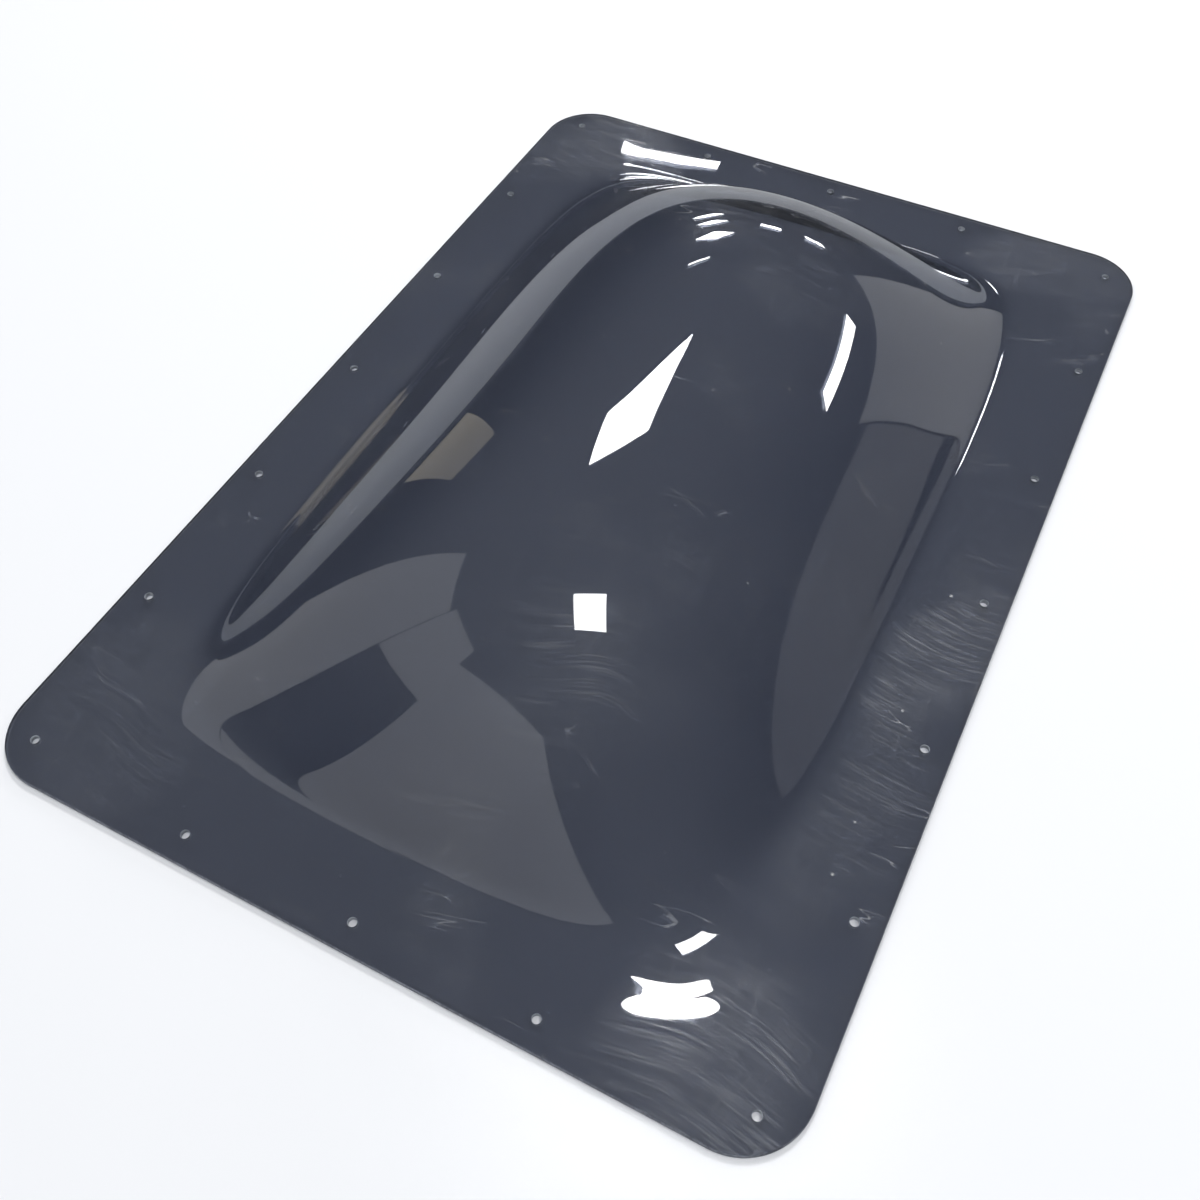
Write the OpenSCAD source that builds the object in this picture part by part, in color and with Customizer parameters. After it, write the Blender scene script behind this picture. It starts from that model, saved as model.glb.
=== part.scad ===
// One-piece blow-formed roof vent dome: a flat drilled rim with a free-blown crown.
// Millimetres. The origin is at the middle of the rim's underside, +Z up, +Y along the length.

/* [Rim] */
// Overall width across the rim
cover_w = 444.5; // [370:0.5:540]
// Overall length along the rim
cover_l = 648; // [540:0.5:780]
// Outer corner radius of the rim
rim_corner_r = 35; // [28:1:43]
// Width of the flat rim, from its edge to the start of the dome
rim_w = 44.5; // [37:0.5:54]
// Thickness of the sheet in the rim
sheet_t = 3; // [2.5:0.1:3.6]

/* [Dome] */
// Rise of the dome's top above the rim's upper face
dome_rise = 100; // [80:1:120]
// Thickness that the blown sheet thins to at the top
crown_t = 2.4; // [1.8:0.1:2.5]
// Corner radius of the dome's foot, in plan
foot_corner_r = 50; // [40:1:60]
// Depth of the curve at the foot, where the sheet turns up out of the rim
foot_blend = 10; // [8:0.5:12]
// Power of the profile across the width: 2 is a parabola, and more is flatter on top
width_power = 2; // [1.8:0.1:2.4]
// Power of the profile along the length
length_power = 3.9; // [3.2:0.1:4.6]
// Power of both profiles together: 1 keeps them, and more pulls the shoulders in
shoulder_power = 1.13; // [1:0.01:1.3]

/* [Screw holes] */
// Diameter of the screw holes
hole_d = 4.5; // [3.6:0.1:5.5]
// Distance of the side holes from the rim's edge
side_hole_inset = 14; // [11:0.5:17]
// Distance of the corner holes from both edges of the rim
corner_hole_inset = 21; // [17.5:0.5:25]
// Distance from the rim's end to the first side hole, on the long sides
first_hole_l = 120; // [98:1:144]
// Distance from the rim's side to the first side hole, on the short sides
first_hole_w = 124; // [104:1:150]
// Side holes on each long side
holes_long = 5; // [2:1:7]
// Side holes on each short side
holes_short = 3; // [2:1:5]

/* [Hidden] */

// Facets of the free-form crown: steps from top to foot, around each corner, and along each side
rings = 18;
corner_steps = 10;
long_steps = 12;
short_steps = 8;
// How far a cutter runs past the faces that it cuts
through = 1;

smoke = [0.13, 0.15, 0.19, 0.6];

foot_half_w = cover_w / 2 - rim_w;
foot_half_l = cover_l / 2 - rim_w;

// --- Foot of the dome: a rounded rectangle in plan -----------------------------------------------

// Straight run from a towards b, without b itself
function run(a, b, steps) = [for (i = [0:steps - 1]) a + (b - a) * i / steps];

// Quarter arc about a centre, from the start angle, without its last point
function quarter(centre, r, start) =
    [for (i = [0:corner_steps - 1])
        centre + r * [cos(start + 90 * i / corner_steps), sin(start + 90 * i / corner_steps)]];

// Rounded rectangle of half sizes hw and hl, anticlockwise from the right-hand side
function rounded_outline(hw, hl, r) = concat(
    run([hw, r - hl], [hw, hl - r], long_steps),
    quarter([hw - r, hl - r], r, 0),
    run([hw - r, hl], [r - hw, hl], short_steps),
    quarter([r - hw, hl - r], r, 90),
    run([-hw, hl - r], [-hw, r - hl], long_steps),
    quarter([r - hw, r - hl], r, 180),
    run([r - hw, -hl], [hw - r, -hl], short_steps),
    quarter([hw - r, r - hl], r, 270));

foot = rounded_outline(foot_half_w, foot_half_l, foot_corner_r);
steps_round = len(foot);

// --- Crown: the blown surface over the foot ------------------------------------------------------

// Larger of a height and zero, rounded over k above and below
function lifted(z, k) = z >= k ? z : z <= -k ? 0 : pow(z + k, 3) * (3 * k - z) / (16 * pow(k, 3));

// Fall of a profile from 1 in the middle to 0 at the end of its half span
function profile(v, half, power) = max(0, 1 - pow(abs(v) / half, power));

// Rise of the upper surface above the rim, over a point of the plan
function rise_over(p) =
    let (share = profile(p.x, foot_half_w, width_power) * profile(p.y, foot_half_l, length_power))
    lifted((dome_rise + foot_blend) * pow(share, shoulder_power) - foot_blend, foot_blend);

// Rings crowd towards the foot, where the surface turns most
function ring_share(j) = sin(90 * j / rings);

// The last ring is the foot itself, flush with the rim
top = [0, 0, sheet_t + dome_rise];
upper = [for (j = [1:rings]) [for (p = foot)
    let (q = p * ring_share(j))
    [q.x, q.y, sheet_t + (j < rings ? rise_over(q) : 0)]]];

// Outward normal at a point of the upper surface, from its neighbours
function normal_at(j, i) =
    let (
        along = upper[j][(i + 1) % steps_round] - upper[j][(i + steps_round - 1) % steps_round],
        outward = upper[j + 1][i] - (j == 0 ? top : upper[j - 1][i]),
        n = cross(outward, along)
    )
    n / norm(n);

// Thickness of the sheet at share t: blowing thins it towards the top
function wall_at(t) = crown_t + (sheet_t - crown_t) * t * t;

lower = [for (j = [0:rings - 1]) [for (i = [0:steps_round - 1])
    j == rings - 1
        ? [foot[i].x, foot[i].y, 0]
        : upper[j][i] - normal_at(j, i) * wall_at(ring_share(j + 1))]];

// Triangles between two rings of points that start at the given indices
function band(a, b) = [for (i = [0:steps_round - 1])
    let (k = (i + 1) % steps_round)
    each [[a + i, b + k, b + i], [a + i, a + k, b + k]]];

// Triangles from a tip to the ring that starts at the given index
function fan(tip, ring) =
    [for (i = [0:steps_round - 1]) [tip, ring + (i + 1) % steps_round, ring + i]];

// All the triangles of one skin, whose tip is the point at the given index
function skin(tip) = concat(
    fan(tip, tip + 1),
    [for (j = [0:rings - 2]) each band(tip + 1 + j * steps_round, tip + 1 + (j + 1) * steps_round)]);

function flipped(faces) = [for (f = faces) [f[2], f[1], f[0]]];

module crown() {
    points = concat(
        [top], [for (ring = upper) each ring],
        [top - [0, 0, crown_t]], [for (ring = lower) each ring]);
    lower_tip = 1 + rings * steps_round;
    foot_edge = band(lower_tip - steps_round, 2 * lower_tip - steps_round);
    polyhedron(points, concat(skin(0), flipped(skin(lower_tip)), foot_edge), convexity = 4);
}

// --- Rim: a flat plate, open under the crown and drilled for screws ------------------------------

corner_hole_x = cover_w / 2 - corner_hole_inset;
corner_hole_y = cover_l / 2 - corner_hole_inset;
side_hole_x = cover_w / 2 - side_hole_inset;
side_hole_y = cover_l / 2 - side_hole_inset;

// Evenly spaced places of n holes, centred, the outer ones at +-reach
function hole_row(n, reach) = [for (i = [0:n - 1]) -reach + 2 * reach * i / (n - 1)];

// Places of all the screw holes, as [x, y]
screw_holes = concat(
    [for (sx = [-1, 1], sy = [-1, 1]) [sx * corner_hole_x, sy * corner_hole_y]],
    [for (sx = [-1, 1], y = hole_row(holes_long, cover_l / 2 - first_hole_l)) [sx * side_hole_x, y]],
    [for (sy = [-1, 1], x = hole_row(holes_short, cover_w / 2 - first_hole_w)) [x, sy * side_hole_y]]);

module rounded_plate(w, l, r, t) {
    translate([-w / 2, r - l / 2, 0]) cube([w, l - 2 * r, t]);
    translate([r - w / 2, -l / 2, 0]) cube([w - 2 * r, l, t]);
    for (sx = [-1, 1], sy = [-1, 1])
        translate([sx * (w / 2 - r), sy * (l / 2 - r), 0]) cylinder(h = t, r = r, $fn = 96);
}

module rim() {
    difference() {
        rounded_plate(cover_w, cover_l, rim_corner_r, sheet_t);
        translate([0, 0, -through]) linear_extrude(sheet_t + 2 * through) polygon(foot);
        for (p = screw_holes)
            translate([p.x, p.y, -through])
                cylinder(h = sheet_t + 2 * through, d = hole_d, $fn = 32);
    }
}

// The whole shell is one sheet: the rim and the crown meet all round the foot
module dome_shell() {
    color(smoke) {
        rim();
        crown();
    }
}

dome_shell();
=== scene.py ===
import math

import bmesh
import bpy
import numpy as np
from mathutils import Matrix, Vector


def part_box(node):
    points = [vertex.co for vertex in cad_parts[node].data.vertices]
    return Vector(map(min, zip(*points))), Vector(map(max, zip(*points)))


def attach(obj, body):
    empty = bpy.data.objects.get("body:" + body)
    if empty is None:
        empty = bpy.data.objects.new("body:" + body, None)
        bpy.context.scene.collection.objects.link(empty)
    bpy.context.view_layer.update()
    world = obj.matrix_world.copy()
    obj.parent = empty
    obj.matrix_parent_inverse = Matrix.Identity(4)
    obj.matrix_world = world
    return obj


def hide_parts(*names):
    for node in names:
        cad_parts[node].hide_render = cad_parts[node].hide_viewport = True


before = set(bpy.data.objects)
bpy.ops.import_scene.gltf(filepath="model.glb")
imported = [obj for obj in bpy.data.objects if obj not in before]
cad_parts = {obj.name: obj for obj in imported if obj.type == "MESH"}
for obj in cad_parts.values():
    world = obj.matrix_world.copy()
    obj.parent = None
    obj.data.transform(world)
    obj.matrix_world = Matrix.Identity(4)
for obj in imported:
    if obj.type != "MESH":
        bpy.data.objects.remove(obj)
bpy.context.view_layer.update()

# The shell. One sheet of smoke-tinted acrylic is heated, clamped round its rim and blown up into a
# dome, so rim, foot and crown are a single skin that thins towards the top. The rim is then sawn
# to a rounded rectangle and drilled for screws. All sizes are in metres.
SHEET = 0.003
CROWN_SHEET = 0.0024
RIM_WIDTH = 0.0445
RIM_CORNER = 0.035
FOOT_CORNER = 0.050
FOOT_BLEND = 0.010
WIDTH_POWER = 2.0
LENGTH_POWER = 3.9
SHOULDER_POWER = 1.13
HOLE_RADIUS = 0.00225
SAWN_BREAK = 0.0004
HOLE_BREAK = 0.0002

# How finely the mesh is divided
RINGS = 80
CROWDING = 0.6  # how far the rings draw together towards the foot, from 0 to 1
CORNER_STEPS = 32
LONG_STEPS = 80
SHORT_STEPS = 56
HOLE_STEPS = 40
SHARP_ANGLE = 30

shell_low, shell_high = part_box("dome_shell")
half_width = (shell_high.x - shell_low.x) / 2
half_length = (shell_high.y - shell_low.y) / 2
foot_half_width = half_width - RIM_WIDTH
foot_half_length = half_length - RIM_WIDTH
dome_rise = shell_high.z - SHEET


def on_arc(middle, radius, degrees):
    angle = math.radians(degrees)
    return middle + radius * Vector((math.cos(angle), math.sin(angle)))


def rounded_outline(half_w, half_l, corner, inset=0.0):
    """Points of a rounded rectangle, anticlockwise from its right-hand side, drawn in by inset."""
    quarters = [(1, 1, 0), (-1, 1, 90), (-1, -1, 180), (1, -1, 270)]
    radius = corner - inset
    middles = [Vector((sx * (half_w - corner), sy * (half_l - corner))) for sx, sy, _ in quarters]
    points = []
    for side, (_, _, start) in enumerate(quarters):
        turns = [start + 90 * i / CORNER_STEPS for i in range(CORNER_STEPS)]
        points += [on_arc(middles[side], radius, turn) for turn in turns]
        steps = SHORT_STEPS if side % 2 == 0 else LONG_STEPS
        arc_end = on_arc(middles[side], radius, start + 90)
        next_arc = on_arc(middles[(side + 1) % 4], radius, start + 90)
        points += [arc_end.lerp(next_arc, i / steps) for i in range(steps)]
    return np.array(points)


def crown_rise(x, y):
    """Height of the outer skin above the rim's upper face, eased into the rim by FOOT_BLEND."""
    across = np.clip(1 - np.abs(x / foot_half_width) ** WIDTH_POWER, 0, None)
    along = np.clip(1 - np.abs(y / foot_half_length) ** LENGTH_POWER, 0, None)
    k = FOOT_BLEND
    z = (dome_rise + k) * (across * along) ** SHOULDER_POWER - k
    blended = (z + k) ** 3 * (3 * k - z) / (16 * k**3)
    return np.where(z >= k, z, np.where(z <= -k, 0.0, blended))


def crown_normals(x, y, step=1e-5):
    slope_x = (crown_rise(x + step, y) - crown_rise(x - step, y)) / (2 * step)
    slope_y = (crown_rise(x, y + step) - crown_rise(x, y - step)) / (2 * step)
    normals = np.stack([-slope_x, -slope_y, np.ones_like(slope_x)], axis=-1)
    return normals / np.linalg.norm(normals, axis=-1, keepdims=True)


def screw_hole_places():
    """Four holes by the corners; between them five on each long side, three on each short one."""
    corner_inset, side_inset = 0.021, 0.014
    first_long, first_short = 0.120, 0.124
    places = [
        (sx * (half_width - corner_inset), sy * (half_length - corner_inset))
        for sx in (-1, 1)
        for sy in (-1, 1)
    ]
    long_reach, short_reach = half_length - first_long, half_width - first_short
    for side in (-1, 1):
        places += [(side * (half_width - side_inset), long_reach * (i - 2) / 2) for i in range(5)]
        places += [(short_reach * (i - 1), side * (half_length - side_inset)) for i in range(3)]
    return places


def add_ring(mesh, points, z):
    heights = np.broadcast_to(z, len(points))
    return [mesh.verts.new((p[0], p[1], h)) for p, h in zip(points, heights)]


def bridge(mesh, inner, outer, slot=0):
    """Quads between two closed rings. Seen from above with inner inside outer, they face up."""
    count = len(inner)
    for i in range(count):
        j = (i + 1) % count
        face = mesh.faces.new((inner[i], outer[i], outer[j], inner[j]))
        face.material_index = slot
        face.smooth = True


def close_tip(mesh, ring, z, facing):
    """A fan of triangles from the ring to one point over the middle; facing is 1 up, -1 down."""
    tip = mesh.verts.new((0, 0, z))
    for i in range(len(ring)):
        pair = (ring[i], ring[(i + 1) % len(ring)])
        face = mesh.faces.new((tip, *pair[::facing]))
        face.smooth = True


def fill_flat(mesh, rings, facing):
    """Flat faces between rings that lie in one level; facing is 1 up, -1 down."""
    edges = []
    for ring in rings:
        for i, vert in enumerate(ring):
            ahead = ring[(i + 1) % len(ring)]
            edges.append(mesh.edges.get((vert, ahead)) or mesh.edges.new((vert, ahead)))
    made = bmesh.ops.triangle_fill(
        mesh, use_beauty=True, use_dissolve=False, edges=edges, normal=(0, 0, facing)
    )
    faces = [g for g in made["geom"] if isinstance(g, bmesh.types.BMFace)]
    for face in faces:
        face.normal_update()
        if face.normal.z * facing < 0:
            face.normal_flip()
    return faces


def make_shell():
    SAWN_SLOT, DRILLED_SLOT = 1, 2
    mesh = bmesh.new()

    # Outer skin and lining, ring by ring from the top down to the foot
    foot = rounded_outline(foot_half_width, foot_half_length, FOOT_CORNER)
    even = np.arange(1, RINGS + 1) / RINGS
    shares = CROWDING * np.sin(np.radians(90 * even)) + (1 - CROWDING) * even
    outer_rings, inner_rings = [], []
    for share in shares:
        ring = foot * share
        x, y = ring[:, 0], ring[:, 1]
        rise = crown_rise(x, y) if share < 1 else np.zeros(len(x))
        normals = crown_normals(x, y) if share < 1 else np.tile((0.0, 0.0, 1.0), (len(x), 1))
        thickness = CROWN_SHEET + (SHEET - CROWN_SHEET) * share**2
        lining = np.column_stack([ring, SHEET + rise]) - normals * thickness
        outer_rings.append(add_ring(mesh, ring, SHEET + rise))
        inner_rings.append([mesh.verts.new(p) for p in lining])
    for a, b in zip(outer_rings, outer_rings[1:]):
        bridge(mesh, a, b)
    for a, b in zip(inner_rings, inner_rings[1:]):
        bridge(mesh, b, a)
    close_tip(mesh, outer_rings[0], shell_high.z, 1)
    close_tip(mesh, inner_rings[0], shell_high.z - CROWN_SHEET, -1)

    # Sawn edge of the rim, its corners eased
    full = rounded_outline(half_width, half_length, RIM_CORNER)
    eased = rounded_outline(half_width, half_length, RIM_CORNER, SAWN_BREAK)
    edge = [
        add_ring(mesh, eased, SHEET),
        add_ring(mesh, full, SHEET - SAWN_BREAK),
        add_ring(mesh, full, SAWN_BREAK),
        add_ring(mesh, eased, 0.0),
    ]
    for a, b in zip(edge, edge[1:]):
        bridge(mesh, a, b, SAWN_SLOT)

    # Drilled screw holes, slightly broken at both rims
    turns = [math.tau * i / HOLE_STEPS for i in range(HOLE_STEPS)]
    circle = np.array([(math.cos(turn), math.sin(turn)) for turn in turns])
    tops, bottoms = [], []
    for place in screw_hole_places():
        wide = np.array(place) + circle * (HOLE_RADIUS + HOLE_BREAK)
        bore = np.array(place) + circle * HOLE_RADIUS
        wall = [
            add_ring(mesh, wide, SHEET),
            add_ring(mesh, bore, SHEET - HOLE_BREAK),
            add_ring(mesh, bore, HOLE_BREAK),
            add_ring(mesh, wide, 0.0),
        ]
        for a, b in zip(wall, wall[1:]):
            bridge(mesh, b, a, DRILLED_SLOT)
        tops.append(wall[0])
        bottoms.append(wall[-1])

    # The rim's flat upper and lower faces, kept flat where the smooth skin meets them
    flats = fill_flat(mesh, [edge[0], outer_rings[-1], *tops], 1)
    flats += fill_flat(mesh, [edge[-1], inner_rings[-1], *bottoms], -1)
    mesh.faces.index_update()
    flats = [face.index for face in flats]

    data = bpy.data.meshes.new("dome_shell_sheet")
    mesh.to_mesh(data)
    mesh.free()
    data.set_sharp_from_angle(angle=math.radians(SHARP_ANGLE))
    for index in flats:
        data.polygons[index].use_smooth = False
    shell = bpy.data.objects.new("dome_shell_sheet", data)
    bpy.context.scene.collection.objects.link(shell)
    return shell


shell = make_shell()


def add_node(tree, kind, inputs=(), **settings):
    """A new node; inputs maps a socket's name or number to a value or to another socket."""
    node = tree.nodes.new(kind)
    for name, value in settings.items():
        setattr(node, name, value)
    for name, value in dict(inputs).items():
        if isinstance(value, bpy.types.NodeSocket):
            tree.links.new(value, node.inputs[name])
        else:
            node.inputs[name].default_value = value
    return node


def between(tree, value, low, high, to_low=0.0, to_high=1.0):
    """Smooth step from to_low to to_high as value goes from low to high."""
    ends = {"From Min": low, "From Max": high, "To Min": to_low, "To Max": to_high}
    ramp = add_node(
        tree, "ShaderNodeMapRange", {"Value": value, **ends}, interpolation_type="SMOOTHSTEP"
    )
    return ramp.outputs["Result"]


def calculate(tree, operation, first, second=0.0):
    return add_node(tree, "ShaderNodeMath", {0: first, 1: second}, operation=operation).outputs[0]


def noise(tree, place, scale, detail=2.0, stretch=(1, 1, 1), turn=0.0, roughness=0.5):
    mapping = add_node(
        tree,
        "ShaderNodeMapping",
        {"Vector": place, "Scale": stretch, "Rotation": (0, 0, turn)},
    )
    texture = add_node(
        tree,
        "ShaderNodeTexNoise",
        {
            "Vector": mapping.outputs["Vector"],
            "Scale": scale,
            "Detail": detail,
            "Roughness": roughness,
        },
    )
    return texture.outputs["Fac"]


def make_handling_marks():
    """Wipe marks, dust and hairline scratches over the sheet, and its slight waviness in metres."""
    GRIP_INSET, GRIP_NEAR, GRIP_FAR, GRIP_GAIN = 0.055, 0.02, 0.10, 0.16
    SWIRL = 0.11
    STROKE_STRETCH, CROSS_STRETCH = (1, 42, 1), (48, 1, 1)
    STROKE_TURN, CROSS_TURN = 0.6, 1.05
    SPECKS_PER_METRE = 110.0
    WIPED_HAZE, DUST_HAZE, HAIRLINE_HAZE, PATCH_HAZE = 0.40, 1.0, 0.8, 0.05
    CLEAN_ROUGHNESS, WIPED_ROUGHNESS = 0.012, 0.05
    WAVE_DEPTH, RIPPLE_DEPTH, HAIRLINE_DEPTH = 0.00030, 0.00003, 0.000004

    group = bpy.data.node_groups.new("handling_marks", "ShaderNodeTree")
    for name in ("Roughness", "Haze", "Height"):
        group.interface.new_socket(name, in_out="OUTPUT", socket_type="NodeSocketFloat")
    out = group.nodes.new("NodeGroupOutput")
    place = group.nodes.new("ShaderNodeTexCoord").outputs["Object"]

    def vector_maths(operation, inputs):
        return add_node(group, "ShaderNodeVectorMath", inputs, operation=operation)

    # Patches that a cloth or a hand has been over, more of them where the corners are gripped
    cloudy = noise(group, place, 7, 3)
    reach = vector_maths("ABSOLUTE", {0: place}).outputs[0]
    corner = (half_width - GRIP_INSET, half_length - GRIP_INSET, 0)
    gripped = vector_maths("DISTANCE", {0: reach, 1: corner}).outputs["Value"]
    grip = between(group, gripped, GRIP_FAR, GRIP_NEAR, 0, GRIP_GAIN)
    cloudy = calculate(group, "ADD", cloudy, grip)
    patches = between(group, cloudy, 0.52, 0.70)

    # The cloth's fine strokes within the patches, in two bent directions
    bent = add_node(group, "ShaderNodeTexNoise", {"Vector": place, "Scale": 6.0, "Detail": 1.0})
    swirl = vector_maths("SCALE", {0: bent.outputs["Color"], "Scale": SWIRL}).outputs[0]
    swept = vector_maths("ADD", {0: place, 1: swirl}).outputs[0]
    strokes = noise(group, swept, 26, 3, STROKE_STRETCH, STROKE_TURN, 0.6)
    cross_strokes = noise(group, swept, 22, 3, CROSS_STRETCH, CROSS_TURN, 0.6)
    strokes = between(group, strokes, 0.48, 0.72)
    cross_strokes = between(group, cross_strokes, 0.54, 0.78)
    wiped = calculate(group, "MAXIMUM", strokes, cross_strokes)
    wiped = calculate(group, "MULTIPLY", wiped, patches)

    # Dust, as separate specks one to two millimetres across
    specks = add_node(group, "ShaderNodeTexVoronoi", {"Vector": place, "Scale": SPECKS_PER_METRE})
    chosen = add_node(group, "ShaderNodeSeparateColor", {"Color": specks.outputs["Color"]})
    chosen = between(group, chosen.outputs["Red"], 0.93, 0.96)
    speck = between(group, specks.outputs["Distance"], 0.13, 0.07)
    dust = calculate(group, "MULTIPLY", speck, chosen)

    # Hairlines, where a stretched noise crosses its middle value
    ridge = calculate(group, "SUBTRACT", noise(group, swept, 11, 2, (1, 7, 1), -0.5), 0.5)
    away = calculate(group, "ABSOLUTE", ridge)
    some = between(group, noise(group, place, 26, 1), 0.60, 0.66)
    hairline = calculate(group, "MULTIPLY", between(group, away, 0.0050, 0.0015), some)

    haze = calculate(group, "MULTIPLY", wiped, WIPED_HAZE)
    for mark, strength in ((dust, DUST_HAZE), (hairline, HAIRLINE_HAZE), (patches, PATCH_HAZE)):
        haze = calculate(group, "ADD", haze, calculate(group, "MULTIPLY", mark, strength))
    roughness = calculate(group, "MULTIPLY", wiped, WIPED_ROUGHNESS)
    roughness = calculate(group, "ADD", roughness, CLEAN_ROUGHNESS)

    # Slow waves left by the blowing, finer ripples on them, and the depth of the hairlines
    waves = calculate(group, "MULTIPLY", noise(group, place, 9, 0), WAVE_DEPTH)
    ripples = calculate(group, "MULTIPLY", noise(group, place, 30, 0), RIPPLE_DEPTH)
    height = calculate(group, "ADD", waves, ripples)
    scratched = calculate(group, "MULTIPLY", hairline, HAIRLINE_DEPTH)
    height = calculate(group, "SUBTRACT", height, scratched)
    for name, socket in (("Roughness", roughness), ("Haze", haze), ("Height", height)):
        group.links.new(socket, out.inputs[name])
    return group


handling_marks = make_handling_marks()
ACRYLIC_IOR = 1.49


def smoke_sheet():
    """The glossy skin: clear acrylic dyed blue-grey, letting about a sixth of the light through."""
    TINT = (0.150, 0.162, 0.196)
    material = bpy.data.materials.new("smoke_sheet")
    material.use_nodes = True
    tree = material.node_tree
    sheet = tree.nodes["Principled BSDF"]
    sheet.inputs["Base Color"].default_value = (*TINT, 1)
    sheet.inputs["IOR"].default_value = ACRYLIC_IOR
    sheet.inputs["Transmission Weight"].default_value = 1.0
    # Haze is a coat that scatters the lamps, laid on by the amount of wiping and dust
    sheet.inputs["Coat Roughness"].default_value = 0.42
    sheet.inputs["Coat IOR"].default_value = 2.0
    marks = add_node(tree, "ShaderNodeGroup", node_tree=handling_marks).outputs
    tree.links.new(marks["Roughness"], sheet.inputs["Roughness"])
    tree.links.new(marks["Haze"], sheet.inputs["Coat Weight"])
    surface = {"Strength": 1.0, "Distance": 1.0, "Height": marks["Height"]}
    bump = add_node(tree, "ShaderNodeBump", surface)
    tree.links.new(bump.outputs["Normal"], sheet.inputs["Normal"])
    # Lamps reach the floor straight through the sheet, dimmed once at each face
    once_dimmed = (*[math.sqrt(t) for t in TINT], 1)
    lamp_through = add_node(tree, "ShaderNodeBsdfTransparent", {"Color": once_dimmed})
    path = tree.nodes.new("ShaderNodeLightPath")
    mix = add_node(
        tree,
        "ShaderNodeMixShader",
        {
            0: path.outputs["Is Shadow Ray"],
            1: sheet.outputs["BSDF"],
            2: lamp_through.outputs["BSDF"],
        },
    )
    tree.links.new(mix.outputs["Shader"], tree.nodes["Material Output"].inputs["Surface"])
    return material


def make_tool_marks():
    """Lines a saw or a drill leaves, drawn out by Stretch, with small chips among them."""
    LINE_SHARE, CHIP_SHARE = 0.6, 0.4
    group = bpy.data.node_groups.new("tool_marks", "ShaderNodeTree")
    group.interface.new_socket("Stretch", in_out="INPUT", socket_type="NodeSocketVector")
    group.interface.new_socket("Marks", in_out="OUTPUT", socket_type="NodeSocketFloat")
    place = group.nodes.new("ShaderNodeTexCoord").outputs["Object"]
    stretch = group.nodes.new("NodeGroupInput").outputs["Stretch"]
    drawn_out = add_node(
        group, "ShaderNodeVectorMath", {0: place, 1: stretch}, operation="MULTIPLY"
    ).outputs[0]
    lines = calculate(group, "MULTIPLY", noise(group, drawn_out, 900, 3), LINE_SHARE)
    chips = calculate(group, "MULTIPLY", noise(group, place, 260, 2), CHIP_SHARE)
    out = group.nodes.new("NodeGroupOutput")
    group.links.new(calculate(group, "ADD", lines, chips), out.inputs["Marks"])
    return group


tool_marks = make_tool_marks()


def mix_colours(tree, factor, first, second):
    """A socket whose colour goes from first to second as factor goes from 0 to 1."""
    FIRST, SECOND, RESULT = 6, 7, 2  # the Mix node's colour sockets
    mix = add_node(
        tree,
        "ShaderNodeMix",
        {"Factor": factor, FIRST: (*first, 1), SECOND: (*second, 1)},
        data_type="RGBA",
    )
    return mix.outputs[RESULT]


def cut_acrylic(name, dark, pale, stretch, roughness):
    """A cut face of the sheet, dull and marked across by the tool."""
    MARK_DEPTH = 0.00008
    material = bpy.data.materials.new(name)
    material.use_nodes = True
    tree = material.node_tree
    face = tree.nodes["Principled BSDF"]
    tool = add_node(tree, "ShaderNodeGroup", node_tree=tool_marks)
    tool.inputs["Stretch"].default_value = stretch
    marks = tool.outputs["Marks"]
    colour = mix_colours(tree, between(tree, marks, 0.36, 0.64), dark, pale)
    tree.links.new(colour, face.inputs["Base Color"])
    dullness = between(tree, marks, 0.3, 0.7, roughness, roughness + 0.2)
    tree.links.new(dullness, face.inputs["Roughness"])
    face.inputs["IOR"].default_value = ACRYLIC_IOR
    depth = calculate(tree, "MULTIPLY", marks, MARK_DEPTH)
    bump = add_node(tree, "ShaderNodeBump", {"Distance": 1.0, "Height": depth})
    tree.links.new(bump.outputs["Normal"], face.inputs["Normal"])
    return material


sawn_edge = cut_acrylic(
    "sawn_edge", (0.05, 0.055, 0.07), (0.18, 0.19, 0.22), stretch=(1, 1, 0.08), roughness=0.40
)
drilled_wall = cut_acrylic(
    "drilled_wall", (0.12, 0.13, 0.15), (0.42, 0.44, 0.47), stretch=(0.15, 0.15, 1), roughness=0.50
)
for material in (smoke_sheet(), sawn_edge, drilled_wall):
    shell.data.materials.append(material)
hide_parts("dome_shell")
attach(shell, "root")

# The floor. A plain pale matt board, 3 m across, a little under the rim so that the two never
# touch. Mirrored in the sheet it counts as dimmer, as if it ran off into an unlit room.
FLOOR_REACH, FLOOR_GAP = 1.5, 0.0006
floor_mesh = bpy.data.meshes.new("floor")
floor_corners = [(-1, -1, 0), (1, -1, 0), (1, 1, 0), (-1, 1, 0)]
floor_corners = [(x * FLOOR_REACH, y * FLOOR_REACH, z) for x, y, z in floor_corners]
floor_mesh.from_pydata(floor_corners, [], [(0, 1, 2, 3)])
floor = bpy.data.objects.new("floor", floor_mesh)
floor.location.z = -FLOOR_GAP
bpy.context.scene.collection.objects.link(floor)
paint = bpy.data.materials.new("pale_floor")
paint.use_nodes = True
paint_tree = paint.node_tree
floor_paint = paint_tree.nodes["Principled BSDF"]
floor_paint.inputs["Roughness"].default_value = 0.9
path = paint_tree.nodes.new("ShaderNodeLightPath").outputs
mirrored = calculate(paint_tree, "MULTIPLY", path["Is Glossy Ray"], path["Is Reflection Ray"])
floor_colour = mix_colours(paint_tree, mirrored, (0.80, 0.80, 0.81), (0.38, 0.39, 0.41))
paint_tree.links.new(floor_colour, floor_paint.inputs["Base Color"])
floor_mesh.materials.append(paint)

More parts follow.
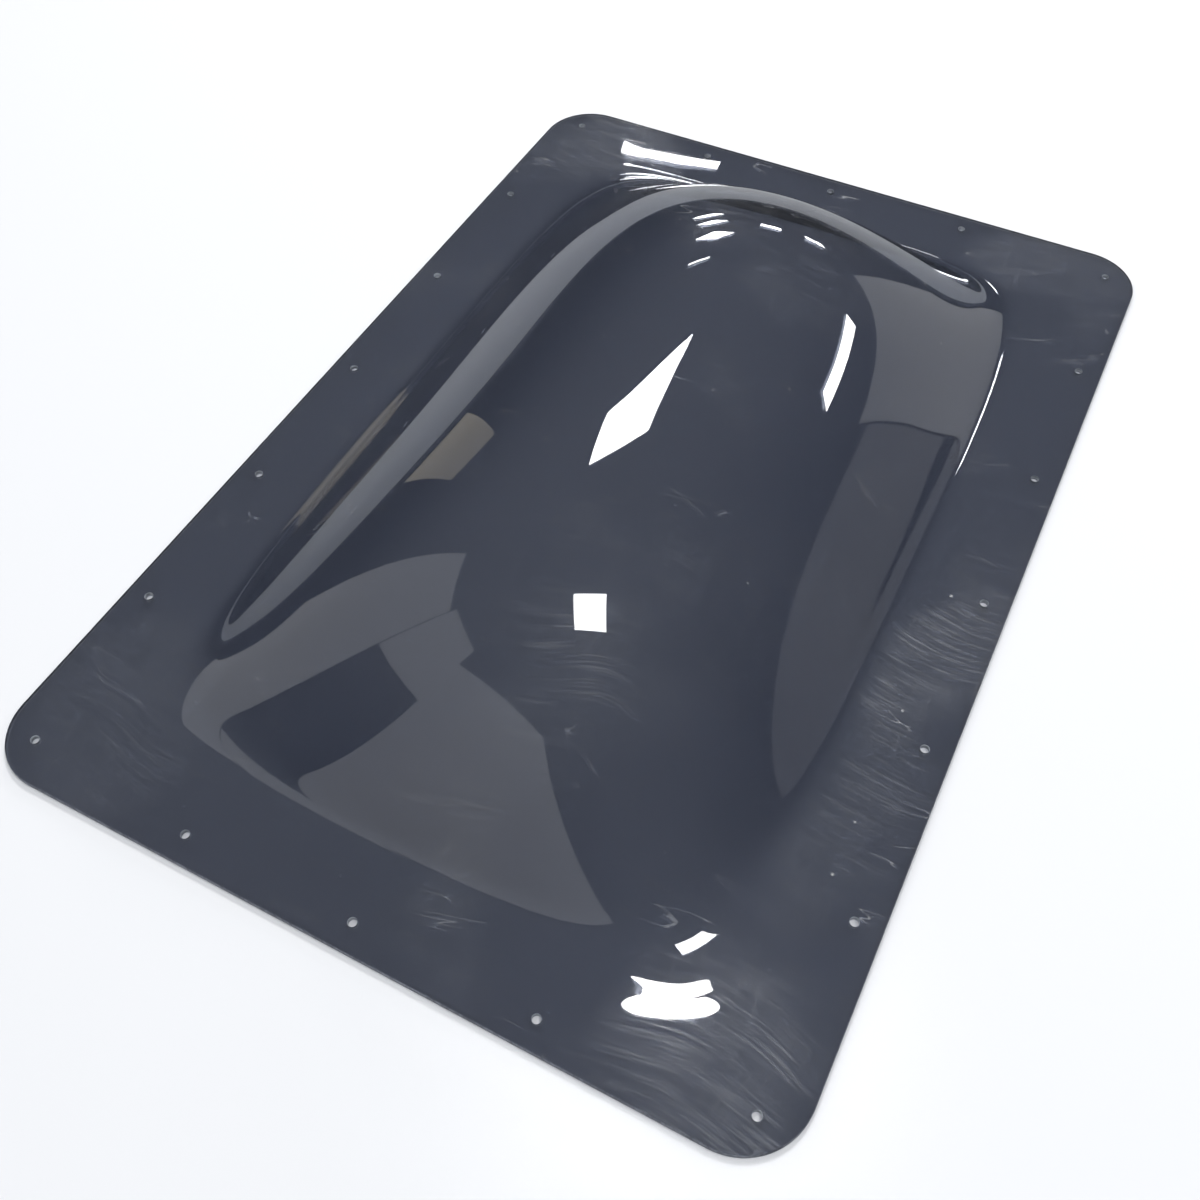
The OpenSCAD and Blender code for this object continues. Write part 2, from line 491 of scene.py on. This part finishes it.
# The room. Dark at the height of the horizon and paler overhead, so that the dome's sides stay
# dark; the camera itself sees a plain pale backdrop.
world = bpy.data.worlds.new("studio")
world.use_nodes = True
room = world.node_tree
direction = room.nodes.new("ShaderNodeTexCoord").outputs["Generated"]
upward = add_node(room, "ShaderNodeSeparateXYZ", {"Vector": direction}).outputs["Z"]
overhead_share = between(room, upward, 0.10, 0.95)
room_colour = mix_colours(room, overhead_share, (0.035, 0.038, 0.042), (0.50, 0.53, 0.57))
unseen = room.nodes["Background"]
room.links.new(room_colour, unseen.inputs["Color"])
pale_backdrop = add_node(room, "ShaderNodeBackground", {"Color": (0.9, 0.91, 0.93, 1)})
seen = add_node(
    room,
    "ShaderNodeMixShader",
    {
        0: room.nodes.new("ShaderNodeLightPath").outputs["Is Camera Ray"],
        1: unseen.outputs["Background"],
        2: pale_backdrop.outputs["Background"],
    },
)
room.links.new(seen.outputs["Shader"], room.nodes["World Output"].inputs["Surface"])
bpy.context.scene.world = world


def soft_panel(name, centre, wide, high, turn, radiance, facing=(0, 0, -1), colour=(1, 1, 1)):
    """A rectangular soft light, its long side turned by turn degrees about the way it faces."""
    light = bpy.data.lights.new(name, "AREA")
    light.shape = "RECTANGLE"
    light.size, light.size_y = wide, high
    light.energy = radiance * math.pi * wide * high
    light.color = colour
    holder = bpy.data.objects.new(name, light)
    aim = Vector(facing).to_track_quat("-Z", "Y").to_matrix().to_4x4()
    turned = Matrix.Rotation(math.radians(turn), 4, "Z")
    holder.matrix_world = Matrix.Translation(centre) @ aim @ turned
    bpy.context.scene.collection.objects.link(holder)
    return holder


# Rectangular panels under the ceiling, each a crisp glint on the crown or the rim: place, width,
# depth and turn in degrees.
CEILING, CEILING_RADIANCE = 2.4, 30
overhead = [
    ((0.71, -0.125), 0.57, 0.42, 31),
    ((-0.45, 1.78), 0.74, 0.66, 35),
    ((3.18, 4.65), 1.25, 0.60, -62),
    ((-2.12, 5.17), 0.80, 0.70, -22),
    ((-3.45, 7.70), 0.90, 0.80, -33),
    ((-5.30, 11.1), 1.30, 1.20, -43),
    ((-1.20, 7.75), 0.75, 0.60, 12),
    ((0.37, 8.86), 0.80, 0.60, 20),
    ((-1.57, 3.55), 0.42, 0.06, 9),
]
for number, ((x, y), wide, high, turn) in enumerate(overhead):
    soft_panel(f"overhead_{number}", (x, y, CEILING), wide, high, turn, CEILING_RADIANCE)

# Large dim panels standing round the object, pale shapes in its sides: heading in degrees
# clockwise from +Y, distance, lower and upper edge, width, radiance and colour.
NEUTRAL, WARM = (1, 1, 1), (1.0, 0.90, 0.70)
uprights = [
    (-106, 2.6, 0.35, 3.4, 1.5, 1.0, NEUTRAL),
    (-170, 2.6, 0.25, 3.0, 2.0, 1.0, NEUTRAL),
    (-135.5, 3.0, 1.9, 4.2, 1.42, 1.0, NEUTRAL),
    (30, 7.0, 0.1, 2.1, 3.4, 0.8, NEUTRAL),
    (57, 5.0, 0.33, 1.35, 2.3, 0.4, NEUTRAL),
    (-62, 4.5, 0.1, 1.7, 0.7, 0.9, WARM),
]
for number, (heading, distance, low, high, wide, radiance, colour) in enumerate(uprights):
    ahead = Vector((math.sin(math.radians(heading)), math.cos(math.radians(heading)), 0))
    place = ahead * distance + Vector((0, 0, (low + high) / 2))
    soft_panel(f"upright_{number}", place, wide, high - low, 0, radiance, -ahead, colour)

# A small fan-shaped light, made of three panels behind one honeycomb grid, low over the near
# right-hand corner. The grid keeps its light in a narrow cone, so it glints in that corner alone.
FAN_HEIGHT, FAN_TURN, FAN_RADIANCE = 0.45, 7, 40
GRID_SPREAD = 30
GRID_GAIN = 43.6  # how much brighter the grid makes a panel of the same energy, seen straight on
fan_facing = (0.103, -0.298, -0.949)
fan = [
    ("ELLIPSE", (0.1024, -0.1434), 0.082, 0.022),
    ("ELLIPSE", (0.1000, -0.1368), 0.050, 0.030),
    ("RECTANGLE", (0.1010, -0.1242), 0.026, 0.032),
]
for number, (shape, (x, y), wide, high) in enumerate(fan):
    place, radiance = (x, y, FAN_HEIGHT), FAN_RADIANCE / GRID_GAIN
    panel = soft_panel(f"fan_{number}", place, wide, high, FAN_TURN, radiance, fan_facing)
    panel.data.shape = shape
    panel.data.spread = math.radians(GRID_SPREAD)
    panel.visible_camera = False

# The camera, above the near right-hand corner and looking down along the dome.
camera_data = bpy.data.cameras.new("camera")
camera_data.sensor_width = 36.0
camera_data.lens = 36.54
camera = bpy.data.objects.new("camera", camera_data)
right = Vector((0.8890, 0.4577, -0.0129))
back = Vector((0.2779, -0.5169, 0.8097)).normalized()
up = back.cross(right).normalized()
right = up.cross(back).normalized()
turned = Matrix((right, up, back)).transposed().to_4x4()
camera.matrix_world = Matrix.Translation((0.2059, -0.4421, 0.5496)) @ turned
bpy.context.scene.collection.objects.link(camera)
bpy.context.scene.camera = camera
bpy.context.scene.view_settings.view_transform = "Standard"
